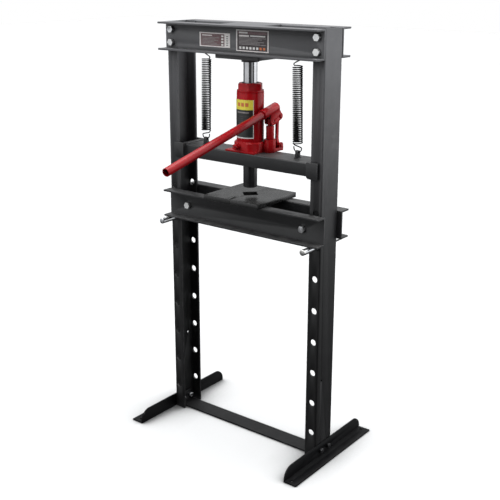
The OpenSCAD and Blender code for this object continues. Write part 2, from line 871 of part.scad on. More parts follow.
// Pump barrel screwed into the base's boss
module pump_barrel() {
    color(jack_red)
        translate([pump_at[0], pump_at[1], beam_top + pump_boss_h])
            difference() {
                union() {
                    cylinder(h = barrel_h, r = barrel_r);
                    translate([0, 0, -17]) cylinder(h = 17, r = barrel_r - 2);
                }
                translate([0, 0, -14]) cylinder(h = barrel_h + 15, d = plunger_d + 2 * run_gap);
            }
}

module pump_plunger() {
    z0 = beam_top + pump_boss_h - 12;
    color(chrome)
        difference() {
            translate([pump_at[0], pump_at[1], 0]) union() {
                translate([0, 0, z0]) cylinder(h = plunger_pin_z - z0, d = plunger_d);
                translate([0, 0, plunger_pin_z - 8]) cylinder(h = 16, d = plunger_head_d);
            }
            bar_x(cross_pin_d / 2 + run_gap, 0, 2 * pump_at[0], pump_at[1], plunger_pin_z);
        }
}

// Pin between the plunger and the socket's cheeks; it stays with the plunger
module plunger_pin() {
    half = cheek_in + cheek_t;
    color(zinc)
        bar_x(cross_pin_d / 2, pump_at[0] - half, pump_at[0] + half, pump_at[1], plunger_pin_z);
}

// Bent bar from the base's ears up to the lever's pivot, with a wide boss at each end
module pump_link() {
    module bar(from, to) {
        along = to - from;
        translate(from) rotate(atan2(along[1], along[0]))
            translate([0, -link_w / 2]) square([norm(along), link_w]);
        translate(to) circle(link_w / 2);
    }
    boss_t = 2 * (cheek_in - slide_gap);
    color(jack_red)
        translate([pump_at[0], 0, 0])
            difference() {
                union() {
                    along_x(link_t) {
                        bar(link_foot, link_bend);
                        bar(link_bend, fulcrum);
                    }
                    along_x(boss_t)
                        for (at = [fulcrum, link_foot]) translate(at) circle(link_r);
                }
                for (at = [fulcrum, link_foot])
                    bar_x(cross_pin_d / 2 + run_gap, -boss_t, boss_t, at[0], at[1]);
            }
}

// Pins at both ends of the link, with heads outside the cheeks and the ears
module link_pins() {
    half = cheek_in + cheek_t + slide_gap;
    color(zinc)
        for (at = [fulcrum, link_foot]) {
            bar_x(cross_pin_d / 2, pump_at[0] - half, pump_at[0] + half, at[0], at[1]);
            for (x = [pump_at[0] - half - 2, pump_at[0] + half])
                bar_x(cross_pin_d / 2 + 1.5, x, x + 2, at[0], at[1]);
        }
}

// Frame of the handle's axis: +Z towards the handle's free end
module on_handle_axis() {
    translate([pump_at[0], socket_rear[0], socket_rear[1]])
        rotate([90 + handle_droop, 0, 0]) children();
}

// Sleeve for the handle, with two cheeks that take the pivot and the plunger's pin
module handle_socket() {
    pin_at = [pump_at[1], plunger_pin_z];
    slot_way = unit(fulcrum - pin_at);
    color(jack_red)
        difference() {
            union() {
                on_handle_axis() cylinder(h = socket_len, r = socket_r);
                for (x = [-cheek_in - cheek_t, cheek_in])
                    translate([pump_at[0] + x, 0, 0]) rotate([90, 0, 90]) linear_extrude(cheek_t) {
                        translate(fulcrum) circle(ear_r);
                        translate(pin_at) circle(pin_lug_r);
                        polygon([
                            fulcrum + [3, -8.4], fulcrum + [8.6, 2],
                            socket_rear + [-2, -2], socket_rear + [-38, -11],
                            pin_at + [-9.9, 1], pin_at + [-4, -9.1], pin_at + [10, -8]
                        ]);
                    }
            }
            on_handle_axis() translate([0, 0, -eps]) cylinder(h = socket_len + 2 * eps, d = socket_bore);
            bar_x(cross_pin_d / 2 + run_gap, 0, 2 * pump_at[0], fulcrum[0], fulcrum[1]);
            for (shift = [0, slot_play / 2, slot_play])
                bar_x(cross_pin_d / 2 + 0.5, 0, 2 * pump_at[0],
                      pin_at[0] + shift * slot_way[0], pin_at[1] + shift * slot_way[1]);
        }
}

// Steel tube handle
module pump_handle() {
    color(jack_red)
        on_handle_axis() translate([0, 0, handle_start])
            difference() {
                cylinder(h = handle_len, d = handle_d);
                translate([0, 0, -eps])
                    cylinder(h = handle_len + 2 * eps, d = handle_d - 2 * handle_wall);
            }
}

// Release valve: a stem in the base with a slotted head in front
module release_valve() {
    color(jack_red)
        difference() {
            union() {
                bar_y(valve_stem_d / 2, valve_boss_y, valve_boss_y + 12, valve_x, valve_z);
                bar_y(valve_head_d / 2, valve_boss_y - slide_gap - valve_head_len,
                      valve_boss_y - slide_gap, valve_x, valve_z);
                bar_y(valve_stem_d / 2, valve_boss_y - slide_gap, valve_boss_y, valve_x, valve_z);
            }
            translate([valve_x - valve_head_d, valve_boss_y - valve_head_len - eps, valve_z - 1.5])
                cube([2 * valve_head_d, 5, 3]);
        }
}

upright_left();
upright_right();
foot_left();
foot_right();
foot_bolts();
foot_nuts();
base_crossbar();
head_channel_front();
head_channel_rear();
head_top_plate();
head_pressure_plate();
ram_cup();
head_bolts();
head_nuts();
spring_hangers();
return_spring_left();
return_spring_right();
head_label_left();
head_label_right();
bed_channel_front();
bed_channel_rear();
bed_spacers();
bed_bolts();
bed_nuts();
support_pin_left();
support_pin_right();
arbor_plate_left();
arbor_plate_right();
moving_beam();
guide_bracket_left();
guide_bracket_right();
spring_lugs();
press_ram();
jack_base();
jack_tank();
jack_cylinder();
jack_cap();
wiper_seal();
jack_piston_rod();
piston_seal();
extension_screw();
tank_label();
filler_plug();
pump_barrel();
pump_plunger();
plunger_pin();
pump_link();
link_pins();
handle_socket();
pump_handle();
release_valve();
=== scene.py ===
import json
import math
import bmesh
import bpy
from mathutils import Matrix, Vector

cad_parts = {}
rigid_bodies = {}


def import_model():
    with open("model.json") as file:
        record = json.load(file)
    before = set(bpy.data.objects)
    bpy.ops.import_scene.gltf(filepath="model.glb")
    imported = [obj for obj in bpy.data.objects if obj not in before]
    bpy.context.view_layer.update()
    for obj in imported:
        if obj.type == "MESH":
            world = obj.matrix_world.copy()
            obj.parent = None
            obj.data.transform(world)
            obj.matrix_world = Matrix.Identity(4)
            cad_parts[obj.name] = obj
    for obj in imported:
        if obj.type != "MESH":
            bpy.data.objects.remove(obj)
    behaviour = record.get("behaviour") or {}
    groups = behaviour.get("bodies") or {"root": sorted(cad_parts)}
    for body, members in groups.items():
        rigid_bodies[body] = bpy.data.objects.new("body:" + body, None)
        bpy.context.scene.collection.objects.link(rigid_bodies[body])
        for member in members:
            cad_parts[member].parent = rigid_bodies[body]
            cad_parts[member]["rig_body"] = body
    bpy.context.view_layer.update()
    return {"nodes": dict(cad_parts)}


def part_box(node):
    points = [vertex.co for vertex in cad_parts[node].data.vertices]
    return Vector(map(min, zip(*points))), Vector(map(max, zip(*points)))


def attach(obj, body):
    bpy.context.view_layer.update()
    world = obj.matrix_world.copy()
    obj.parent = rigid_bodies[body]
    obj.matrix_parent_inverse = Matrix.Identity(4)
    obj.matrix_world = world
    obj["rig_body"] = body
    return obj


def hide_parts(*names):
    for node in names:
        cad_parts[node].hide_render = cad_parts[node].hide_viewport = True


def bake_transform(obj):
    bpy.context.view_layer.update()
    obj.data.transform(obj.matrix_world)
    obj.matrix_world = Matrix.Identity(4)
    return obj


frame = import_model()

MM = 0.001


# ---------------------------------------------------------------- node helpers

class Nodes:
    """A material's node tree, with short calls for the nodes used here."""

    def __init__(self, name):
        self.mat = bpy.data.materials.new(name)
        self.mat.use_nodes = True
        self.tree = self.mat.node_tree
        self.shader = self.tree.nodes["Principled BSDF"]
        self.coords = self.new("ShaderNodeTexCoord").outputs["Object"]

    def new(self, kind, **settings):
        node = self.tree.nodes.new(kind)
        for key, value in settings.items():
            setattr(node, key, value)
        return node

    def put(self, socket, value):
        if isinstance(value, bpy.types.NodeSocket):
            self.tree.links.new(value, socket)
        else:
            socket.default_value = value

    def stretched(self, scale, turn=(0, 0, 0)):
        node = self.new("ShaderNodeMapping")
        self.put(node.inputs["Vector"], self.coords)
        node.inputs["Scale"].default_value = scale
        node.inputs["Rotation"].default_value = [math.radians(a) for a in turn]
        return node.outputs["Vector"]

    def noise(self, scale, detail=3.0, rough=0.55, coords=None, distort=0.0):
        node = self.new("ShaderNodeTexNoise")
        self.put(node.inputs["Vector"], coords or self.coords)
        node.inputs["Scale"].default_value = scale
        node.inputs["Detail"].default_value = detail
        node.inputs["Roughness"].default_value = rough
        node.inputs["Distortion"].default_value = distort
        return node.outputs["Fac"]

    def cells(self, scale, coords=None):
        node = self.new("ShaderNodeTexVoronoi", feature="F1")
        self.put(node.inputs["Vector"], coords or self.coords)
        node.inputs["Scale"].default_value = scale
        return node.outputs["Distance"]

    def remap(self, value, low, high, to_low=0.0, to_high=1.0):
        node = self.new("ShaderNodeMapRange")
        for socket, v in zip(node.inputs[:5], (value, low, high, to_low, to_high)):
            self.put(socket, v)
        return node.outputs["Result"]

    def math(self, operation, a, b=0.0):
        node = self.new("ShaderNodeMath", operation=operation)
        self.put(node.inputs[0], a)
        self.put(node.inputs[1], b)
        return node.outputs[0]

    def mix(self, factor, a, b):
        node = self.new("ShaderNodeMix", data_type="RGBA")
        self.put(node.inputs[0], factor)
        self.put(node.inputs[6], a if isinstance(a, bpy.types.NodeSocket) else (*a, 1))
        self.put(node.inputs[7], b if isinstance(b, bpy.types.NodeSocket) else (*b, 1))
        return node.outputs[2]

    def bump(self, height, strength, distance, normal=None):
        node = self.new("ShaderNodeBump")
        node.inputs["Strength"].default_value = strength
        node.inputs["Distance"].default_value = distance
        self.put(node.inputs["Height"], height)
        if normal is not None:
            self.put(node.inputs["Normal"], normal)
        return node.outputs["Normal"]

    def edges(self, radius):
        """1 along convex and concave edges within the radius, 0 on flats."""
        bevel = self.new("ShaderNodeBevel", samples=6)
        bevel.inputs["Radius"].default_value = radius
        flat = self.new("ShaderNodeNewGeometry").outputs["Normal"]
        dot = self.new("ShaderNodeVectorMath", operation="DOT_PRODUCT")
        self.put(dot.inputs[0], bevel.outputs["Normal"])
        self.put(dot.inputs[1], flat)
        return self.remap(dot.outputs["Value"], 0.985, 0.90)

    def recess_shade(self, distance, open_sky=0.75, shut_sky=0.25):
        """Mask for painted shade: 1 deep in a hollow about as wide as the distance, 0 on open faces."""
        node = self.new("ShaderNodeAmbientOcclusion", samples=8)
        node.inputs["Distance"].default_value = distance
        return self.remap(node.outputs["AO"], open_sky, shut_sky)

    def height(self):
        split = self.new("ShaderNodeSeparateXYZ")
        self.put(split.inputs[0], self.coords)
        return split.outputs["Z"]

    def facing_up(self):
        split = self.new("ShaderNodeSeparateXYZ")
        self.put(split.inputs[0], self.new("ShaderNodeNewGeometry").outputs["Normal"])
        return self.remap(split.outputs["Z"], 0.55, 0.95)

    def shade(self, **values):
        for key, value in values.items():
            name = key.replace("_", " ").title().replace("Ior", "IOR")
            self.put(self.shader.inputs[name], value)
        return self.mat


def tint(color, k):
    return tuple(min(1.0, c * k) for c in color)


# ---------------------------------------------------------------- materials

DUST, LINT, BARE_STEEL_HIGHLIGHT = (0.16, 0.155, 0.15), (0.30, 0.29, 0.28), (0.20, 0.20, 0.205)
PRIMER_HIGHLIGHT, GRIME = (0.60, 0.16, 0.15), (0.16, 0.04, 0.035)     # primer under the red enamel, showing on worn edges and as a painted edge highlight; grime on the enamel
STRAW = (0.66, 0.62, 0.50)      # chromate tint of the zinc
OIL = (0.34, 0.31, 0.27)        # film on the chromed rod
TOP_LIGHT_FROM, TOP_LIGHT_TO = 0.60, 1.14     # heights in metres between which painted light makes the black paint lighter towards the top

def satin_paint(name, color, rough=0.42, peel=0.10, dust=0.25, wear_and_highlight=0.35, painted_top_light=1.0, specular=0.45):
    """Black satin paint on rolled steel: faint mill waves, orange peel, rubbed edges that also carry a
    painted edge highlight, dust on top.
    Painted light makes the paint lighter towards the top of the press, by the given factor, and painted
    shade darkens it in recesses."""
    n = Nodes(name)
    patches = n.noise(6.0, 4.0)
    streaks = n.noise(1.0, 3.0, coords=n.stretched((9, 9, 70), (4, 0, 0)))
    base = n.mix(n.remap(patches, 0.35, 0.65), tint(color, 0.82), tint(color, 1.18))
    base = n.mix(n.math("MULTIPLY", n.remap(streaks, 0.5, 0.75), 0.25), base, tint(color, 1.6))
    # Painted light: the paint is made lighter towards the top of the press, up to the given factor.
    if painted_top_light > 1.0:
        height = n.math("POWER", n.remap(n.height(), TOP_LIGHT_FROM, TOP_LIGHT_TO), 1.3)
        base = n.mix(n.math("MULTIPLY", height, n.remap(patches, 0.2, 0.6, 0.8, 1.0)),
                     base, tint(color, painted_top_light))
    lint = n.remap(n.noise(420.0, 2.0), 0.70, 0.78)
    film = n.math("MULTIPLY", n.facing_up(), n.remap(n.noise(22.0, 5.0), 0.35, 0.70))
    base = n.mix(n.math("MULTIPLY", film, dust), base, DUST)
    base = n.mix(n.math("MULTIPLY", lint, 0.18), base, LINT)
    # Rubbed edges: partly worn to bare steel, partly a painted edge highlight.
    rub_and_highlight = n.math("MULTIPLY", n.edges(0.0016), n.remap(n.noise(60.0, 4.0), 0.42, 0.66))
    base = n.mix(n.math("MULTIPLY", rub_and_highlight, wear_and_highlight), base, BARE_STEEL_HIGHLIGHT)
    # Painted shade: the black paint is darkened in recesses and between parts.
    base = n.mix(n.recess_shade(0.06), base, tint(color, 0.25))
    rough_map = n.remap(n.noise(40.0, 6.0, 0.65), 0.3, 0.7, rough - 0.06, rough + 0.08)
    scuff = n.remap(n.noise(1.0, 2.0, coords=n.stretched((700, 12, 30), (0, 18, 35))), 0.68, 0.74)
    rough_map = n.math("SUBTRACT", rough_map, n.math("MULTIPLY", scuff, 0.10))
    waves = n.bump(n.noise(26.0, 2.0), 0.18, 0.0012)
    normal = n.bump(n.noise(650.0, 2.0, 0.6), peel, 0.0004, waves)
    return n.shade(base_color=base, roughness=rough_map, normal=normal, specular_ior_level=specular)


def enamel(name, color, rough=0.18, cast=0.0, wear_and_highlight=0.12):
    """Gloss enamel; cast gives the sand-cast skin of the jack's base. Painted shade darkens it in
    recesses, and its rubbed edges show primer, worn through and as a painted edge highlight.
    """
    n = Nodes(name)
    base = n.mix(n.remap(n.noise(14.0, 5.0), 0.3, 0.7), tint(color, 0.72), tint(color, 1.15))
    drips = n.remap(n.noise(1.0, 2.0, coords=n.stretched((120, 120, 14))), 0.55, 0.8)
    base = n.mix(n.math("MULTIPLY", drips, 0.35), base, tint(color, 0.55))
    # Rubbed edges: partly worn to the primer, partly a painted edge highlight.
    rub_and_highlight = n.math("MULTIPLY", n.edges(0.0011), n.remap(n.noise(90.0, 4.0), 0.45, 0.7))
    base = n.mix(n.math("MULTIPLY", rub_and_highlight, wear_and_highlight), base, PRIMER_HIGHLIGHT)
    dirt = n.math("MULTIPLY", n.facing_up(), n.remap(n.noise(45.0, 4.0), 0.45, 0.75))
    base = n.mix(n.math("MULTIPLY", dirt, 0.22), base, GRIME)
    # Painted shade: the enamel is darkened in recesses and between parts.
    base = n.mix(n.recess_shade(0.03), base, tint(color, 0.35))
    rough_map = n.remap(n.noise(70.0, 5.0), 0.3, 0.7, rough - 0.05, rough + 0.09)
    skin = n.bump(n.noise(300.0, 4.0, 0.65), 0.12 + 0.45 * cast, 0.0005)
    normal = n.bump(n.noise(70.0, 3.0), 0.12 + 0.30 * cast, 0.0010, skin)
    return n.shade(base_color=base, roughness=rough_map, normal=normal, specular_ior_level=0.20)


def zinc(name, color=(0.72, 0.73, 0.74), rough=0.30, turn=(0, 0, 0)):
    """Bright zinc plate over turned or rolled steel, with faint blue and straw tints."""
    n = Nodes(name)
    base = n.mix(n.remap(n.noise(60.0, 4.0), 0.3, 0.7), tint(color, 0.80), color)
    base = n.mix(n.math("MULTIPLY", n.remap(n.noise(25.0, 3.0), 0.45, 0.7), 0.35),
                 base, STRAW)
    pits = n.remap(n.cells(900.0), 0.10, 0.02)
    base = n.mix(n.math("MULTIPLY", pits, 0.30), base, tint(color, 0.45))
    lines = n.noise(1.0, 3.0, coords=n.stretched((1500, 1500, 60), turn))
    rough_map = n.remap(n.noise(120.0, 5.0), 0.3, 0.7, rough - 0.08, rough + 0.12)
    normal = n.bump(lines, 0.16, 0.0002, n.bump(n.noise(380.0, 3.0), 0.10, 0.0003))
    return n.shade(base_color=base, roughness=rough_map, metallic=1.0, normal=normal)


def chrome(name):
    """Ground and plated rod, with patches of oil film."""
    n = Nodes(name)
    base = n.mix(n.remap(n.noise(30.0, 4.0), 0.35, 0.7), (0.48, 0.485, 0.50), (0.60, 0.60, 0.615))
    oil = n.remap(n.noise(90.0, 5.0, distort=0.4), 0.52, 0.75)
    base = n.mix(n.math("MULTIPLY", oil, 0.25), base, OIL)
    rings = n.noise(1.0, 2.0, coords=n.stretched((15, 15, 2600)))
    rough_map = n.remap(n.noise(60.0, 5.0), 0.3, 0.7, 0.07, 0.20)
    return n.shade(base_color=base, roughness=rough_map, metallic=1.0,
                   normal=n.bump(rings, 0.06, 0.0001))


def rubber(name):
    """Matt black rubber."""
    n = Nodes(name)
    base = n.mix(n.noise(120.0, 4.0), (0.012, 0.012, 0.012), (0.035, 0.034, 0.033))
    return n.shade(base_color=base, roughness=n.remap(n.noise(200.0, 3.0), 0.3, 0.7, 0.6, 0.8),
                   normal=n.bump(n.noise(900.0, 2.0), 0.2, 0.0002))


def vinyl(name, color, ink=None, rough=0.34):
    """Printed film: a faint halftone in the ink, a few scuffs, slight ripples."""
    n = Nodes(name)
    ink = ink or tint(color, 0.86)
    base = n.mix(n.remap(n.noise(260.0, 5.0), 0.35, 0.65), color, ink)
    base = n.mix(n.math("MULTIPLY", n.remap(n.cells(1400.0), 0.25, 0.05), 0.12), base, tint(color, 0.6))
    scuff = n.remap(n.noise(1.0, 3.0, coords=n.stretched((60, 60, 900), (12, 8, 0))), 0.64, 0.72)
    base = n.mix(n.math("MULTIPLY", scuff, 0.14), base, (0.55, 0.55, 0.54))
    rough_map = n.remap(n.noise(80.0, 4.0), 0.3, 0.7, rough - 0.06, rough + 0.1)
    return n.shade(base_color=base, roughness=rough_map,
                   normal=n.bump(n.noise(120.0, 2.0), 0.08, 0.0004))


BLACK = (0.007, 0.007, 0.0074)
M = {
    # Painted light: the uprights' and head's paint is made lighter towards the top by the given factors.
    "upright": satin_paint("upright_satin", BLACK, 0.42, painted_top_light=13.0, specular=0.35),
    "head": satin_paint("head_satin", BLACK, 0.42, painted_top_light=14.0),
    "bed": satin_paint("bed_satin", (0.017, 0.017, 0.018), 0.42),
    "beam": satin_paint("beam_satin", (0.018, 0.018, 0.019), 0.42),
    # Painted shade: the feet and crossbar take darker copies of the black paint, for the shade near the
    # floor.
    "foot": satin_paint("foot_satin_shaded", (0.002, 0.002, 0.0024), 0.46, dust=0.02, wear_and_highlight=0.08, specular=0.1),
    "bar": satin_paint("crossbar_satin_shaded", (0.008, 0.008, 0.0085), 0.48, dust=0.02, specular=0.12),
    "plate": satin_paint("plate_oxide", (0.018, 0.018, 0.018), 0.24, peel=0.05, dust=0.10, wear_and_highlight=0.4),
    "ram": satin_paint("ram_black", (0.010, 0.010, 0.011), 0.30, dust=0.0, wear_and_highlight=0.45),
    "spring": satin_paint("spring_phosphate", (0.004, 0.004, 0.004), 0.58, dust=0.0, wear_and_highlight=0.0,
                          specular=0.15),
    "weld": satin_paint("weld_satin", (0.014, 0.014, 0.015), 0.46, peel=0.3, wear_and_highlight=0.2),
    "red": enamel("jack_enamel", (0.38, 0.004, 0.008)),
    "casting": enamel("casting_enamel", (0.33, 0.004, 0.007), 0.22, cast=1.0),
    # Painted shade: the handle takes a darker copy of the red enamel, against the light that falls on its
    # top.
    "handle": enamel("handle_enamel_shaded", (0.25, 0.003, 0.006), 0.20),
    "zinc": zinc("bolt_zinc", (0.86, 0.87, 0.88), 0.42),
    "pin": zinc("pin_zinc", (0.62, 0.63, 0.65), 0.24, (90, 0, 0)),
    "steel": zinc("turned_steel", (0.58, 0.58, 0.60), 0.28),
    "chrome": chrome("rod_chrome"),
    "rubber": rubber("seal_rubber"),
    "film_light": vinyl("film_light", (0.80, 0.77, 0.76), (0.68, 0.63, 0.62)),
    "film_white": vinyl("film_white", (0.80, 0.79, 0.77)),
    "film_maroon": vinyl("film_maroon", (0.115, 0.055, 0.060), (0.19, 0.11, 0.115)),
    "film_dark": vinyl("film_dark", (0.030, 0.022, 0.024), (0.055, 0.042, 0.045)),
    "film_grey": vinyl("film_grey", (0.30, 0.28, 0.28), (0.17, 0.15, 0.15)),
    "film_orange": vinyl("film_orange", (0.62, 0.17, 0.05)),
    "film_yellow": vinyl("film_yellow", (0.72, 0.62, 0.035), (0.80, 0.70, 0.10)),
    "film_black": vinyl("film_black", (0.010, 0.012, 0.012), (0.022, 0.026, 0.024)),
}


# ---------------------------------------------------------------- mesh helpers

SHARP_ANGLE = 28.0      # edges of the CAD solids that turn by more degrees than this get rounded
RIPPLE = 0.0032         # metres between the ripples of a weld bead


def add(name, mesh, body, material):
    """Makes a piece that rides on the body, or on nothing yet if the body is None."""
    piece = bpy.data.objects.new(name, mesh)
    bpy.context.scene.collection.objects.link(piece)
    piece.data.materials.append(material)
    if body:
        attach(piece, body)
    return piece


def shaded(bm, name, angle=32.0):
    """Finishes a bmesh: smooth shading, with edges sharper than the angle kept sharp."""
    bmesh.ops.recalc_face_normals(bm, faces=bm.faces)
    for f in bm.faces:
        f.smooth = True
    for e in bm.edges:
        if len(e.link_faces) == 2 and e.calc_face_angle(0.0) > math.radians(angle):
            e.smooth = False
    mesh = bpy.data.meshes.new(name)
    bm.to_mesh(mesh)
    bm.free()
    return mesh


def softened(node, width, material):
    """Stands in for a CAD node with the same solid, its edges rounded by the width."""
    source = frame["nodes"][node]
    bm = bmesh.new()
    bm.from_mesh(source.data)
    bmesh.ops.remove_doubles(bm, verts=bm.verts, dist=2e-6)
    bmesh.ops.dissolve_limit(bm, angle_limit=math.radians(0.6), verts=bm.verts, edges=bm.edges)
    sharp = [e for e in bm.edges
             if len(e.link_faces) == 2 and e.calc_face_angle(0.0) > math.radians(SHARP_ANGLE)]
    bmesh.ops.bevel(bm, geom=sharp, offset=width * MM, offset_type="OFFSET", segments=2,
                    profile=0.5, affect="EDGES", clamp_overlap=True, loop_slide=True)
    mesh = shaded(bm, node + "_soft")
    piece = add(node + "_soft", mesh, source["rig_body"], material)
    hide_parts(node)
    return piece


def frames_along(points):
    """Parallel-transported side vectors for a path."""
    tangents = []
    for i in range(len(points)):
        a, b = points[max(i - 1, 0)], points[min(i + 1, len(points) - 1)]
        tangents.append((b - a).normalized())
    side = tangents[0].orthogonal().normalized()
    out = []
    for t in tangents:
        side = (side - t * side.dot(t)).normalized()
        out.append((side, t.cross(side)))
    return out


def tube(name, points, radius, sides=8):
    """Closed tube along the points; radius is a number or one number per point."""
    points = [Vector(p) for p in points]
    radii = radius if isinstance(radius, list) else [radius] * len(points)
    bm = bmesh.new()
    rings = []
    for p, (u, v), r in zip(points, frames_along(points), radii):
        rings.append([bm.verts.new(p + r * (math.cos(a) * u + math.sin(a) * v))
                      for a in (2 * math.pi * k / sides for k in range(sides))])
    for a, b in zip(rings, rings[1:]):
        for k in range(sides):
            bm.faces.new((a[k], a[(k + 1) % sides], b[(k + 1) % sides], b[k]))
    bm.faces.new(list(reversed(rings[0])))
    bm.faces.new(rings[-1])
    return shaded(bm, name, 50.0)


def bead(name, body, corners, radius=2.0, closed=False, material="weld"):
    """Weld bead along straight runs between the corners, rippled as the weld was laid."""
    corners = [Vector(c) * MM for c in corners]
    if closed:
        corners.append(corners[0])
    points, radii, run = [], [], 0.0
    for a, b in zip(corners, corners[1:]):
        count = max(2, int((b - a).length / 0.0008))
        for i in range(count):
            points.append(a.lerp(b, i / count))
            run += (b - a).length / count
            wave = 0.5 + 0.5 * math.cos(2 * math.pi * run / RIPPLE)
            radii.append(radius * MM * (0.82 + 0.20 * wave + 0.05 * math.sin(run * 410.0)))
    points.append(corners[-1])
    radii.append(radii[-1])
    return add(name, tube(name, points, radii, 8), body, M[material])


def ring_points(z, radius, count=72):
    """A level circle round the jack's axis."""
    return [(radius * math.cos(math.radians(a)), radius * math.sin(math.radians(a)), z)
            for a in (360.0 * i / count for i in range(count))]


# ---------------------------------------------------------------- camera

# The photograph's viewpoint, solved from the press's straight edges: degrees, metres, millimetres
YAW, PITCH, ROLL = 37.671, 16.729, 0.094
CAMERA_PLACE = (1.4985, -1.9414, 1.3424)
LENS, SENSOR, SHIFT = 64.57, 36.0, -0.03


def aim_camera():
    yaw, pitch, roll = (math.radians(angle) for angle in (YAW, PITCH, ROLL))
    ahead = Vector((-math.sin(yaw) * math.cos(pitch), math.cos(yaw) * math.cos(pitch),
                    -math.sin(pitch)))
    right = Vector((math.cos(yaw), math.sin(yaw), 0.0))
    up = right.cross(ahead)
    right, up = (math.cos(roll) * right + math.sin(roll) * up,
                 math.cos(roll) * up - math.sin(roll) * right)
    camera = bpy.data.objects.new("camera", bpy.data.cameras.new("camera"))
    bpy.context.scene.collection.objects.link(camera)
    turn = Matrix((right, up, -ahead)).transposed().to_4x4()
    camera.matrix_world = Matrix.Translation(CAMERA_PLACE) @ turn
    camera.data.sensor_width = SENSOR
    camera.data.lens = LENS
    camera.data.shift_y = SHIFT
    camera.data.clip_start, camera.data.clip_end = 0.05, 200.0
    bpy.context.scene.camera = camera


aim_camera()


# ---------------------------------------------------------------- frame steel

# Edge rounding in millimetres and material of each node that stands in for its CAD solid
SOFT = {
    "upright_left": (0.9, "upright"), "upright_right": (0.9, "upright"),
    "foot_left": (0.8, "foot"), "foot_right": (0.8, "foot"), "base_crossbar": (0.7, "bar"),
    "head_channel_front": (0.9, "head"), "head_channel_rear": (0.9, "head"),
    "head_top_plate": (0.5, "head"), "head_pressure_plate": (0.9, "head"), "ram_cup": (0.8, "head"),
    "bed_channel_front": (0.9, "bed"), "bed_channel_rear": (0.9, "bed"), "bed_spacers": (0.4, "bed"),
    "arbor_plate_left": (1.0, "plate"), "arbor_plate_right": (1.0, "plate"),
    "moving_beam": (0.9, "beam"), "guide_bracket_left": (0.8, "beam"),
    "guide_bracket_right": (0.8, "beam"), "spring_lugs": (0.5, "weld"),
    "press_ram": (0.4, "ram"), "spring_hangers": (0.5, "zinc"),
    "head_bolts": (0.45, "zinc"), "head_nuts": (0.4, "zinc"),
    "bed_bolts": (0.45, "zinc"), "bed_nuts": (0.4, "zinc"),
    "foot_bolts": (0.35, "ram"), "foot_nuts": (0.35, "zinc"),
    "support_pin_left": (0.4, "pin"), "support_pin_right": (0.4, "pin"),
    "jack_base": (1.4, "casting"), "jack_tank": (1.4, "red"), "jack_cap": (1.4, "red"),
    "pump_barrel": (0.8, "casting"), "pump_link": (0.6, "red"),
    "handle_socket": (0.7, "red"), "pump_handle": (0.4, "handle"), "release_valve": (0.6, "casting"),
    "link_pins": (0.4, "casting"), "plunger_pin": (0.4, "casting"), "extension_screw": (0.6, "steel"),
}
for node, (width, key) in SOFT.items():
    softened(node, width, M[key])

# Nodes that keep their CAD mesh and take a material
for node, key in {"jack_piston_rod": "chrome", "pump_plunger": "casting", "jack_cylinder": "steel",
                  "wiper_seal": "rubber", "piston_seal": "rubber", "filler_plug": "rubber",
                  "head_label_left": "film_light", "head_label_right": "film_light",
                  "tank_label": "film_white"}.items():
    mesh = frame["nodes"][node].data
    mesh.materials.clear()
    mesh.materials.append(M[key])


# ---------------------------------------------------------------- springs

# The return springs as part.scad lays them: millimetres, on the right-hand side of the press
LUG_X, SPRING_LEAN = 160.0, 5.5
COIL_R, WIRE_R, TURNS = 12.4, 1.6, 41
HOOK_LOW, HOOK_HIGH = 865.05, 1125.9
COIL_LOW, COIL_HIGH = 889.0, 1093.0
HOOK_BEND, HOOK_TIP = 3.0, 2.5
ARC_STEPS, CROSSING_STEPS, COIL_STEPS = 20, 12, 18      # points in a hook, a crossing and a turn


def hook_points(top, way):
    """A hook from its free tip to its far side; way is 1 for the upper one and -1 for the lower."""
    centre = top - way * COIL_R
    tip = [(-COIL_R, 0.0, centre - way * HOOK_TIP * k / 3) for k in (3, 2, 1)]
    arc = [(-COIL_R * math.cos(a), 0.0, centre + way * COIL_R * math.sin(a))
           for a in (math.pi * i / ARC_STEPS for i in range(ARC_STEPS + 1))]
    return tip + arc


def crossing_points(z0, z1):
    """The wire's way across the coil, from a hook's far side to the start of the turns."""
    return [(COIL_R * math.cos(math.pi * share), 0.0, z0 + (z1 - z0) * share)
            for share in (k / CROSSING_STEPS for k in range(1, CROSSING_STEPS + 1))]


def spring_points(side):
    """The whole wire in metres, leaning inwards towards the head; side is 1 right and -1 left."""
    low = hook_points(HOOK_LOW, -1) + crossing_points(HOOK_LOW + COIL_R, COIL_LOW - HOOK_BEND)
    high = hook_points(HOOK_HIGH, 1) + crossing_points(HOOK_HIGH - COIL_R, COIL_HIGH + HOOK_BEND)
    start = math.asin(HOOK_BEND / COIL_R)
    steps = TURNS * COIL_STEPS
    coil = []
    for i in range(steps + 1):
        a = math.pi + start + (2 * math.pi * TURNS - 2 * start) * i / steps
        coil.append((COIL_R * math.cos(a), COIL_R * math.sin(a),
                     COIL_LOW + (COIL_HIGH - COIL_LOW) * i / steps))
    points = []
    for x, y, z in low + coil + high[::-1]:
        lean = SPRING_LEAN * (z - HOOK_LOW) / (HOOK_HIGH - HOOK_LOW)
        points.append((side * (LUG_X - lean + x) * MM, side * y * MM, z * MM))
    return points


def add_spring(name, side):
    mesh = tube("spring_wire_" + name, spring_points(side), WIRE_R * MM, 8)
    piece = add("spring_wire_" + name, mesh, None, M["spring"])
    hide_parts("return_spring_" + name)
    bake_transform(piece)


add_spring("left", -1)
add_spring("right", 1)


# ---------------------------------------------------------------- labels

FILM = 0.10     # thickness of each printed layer, in millimetres
LABEL_HALF_TURN = 52    # the tank's label reaches this far each way round the tank, in degrees
YELLOW_BAND = 27.0      # height of the yellow band at the top of the tank's label


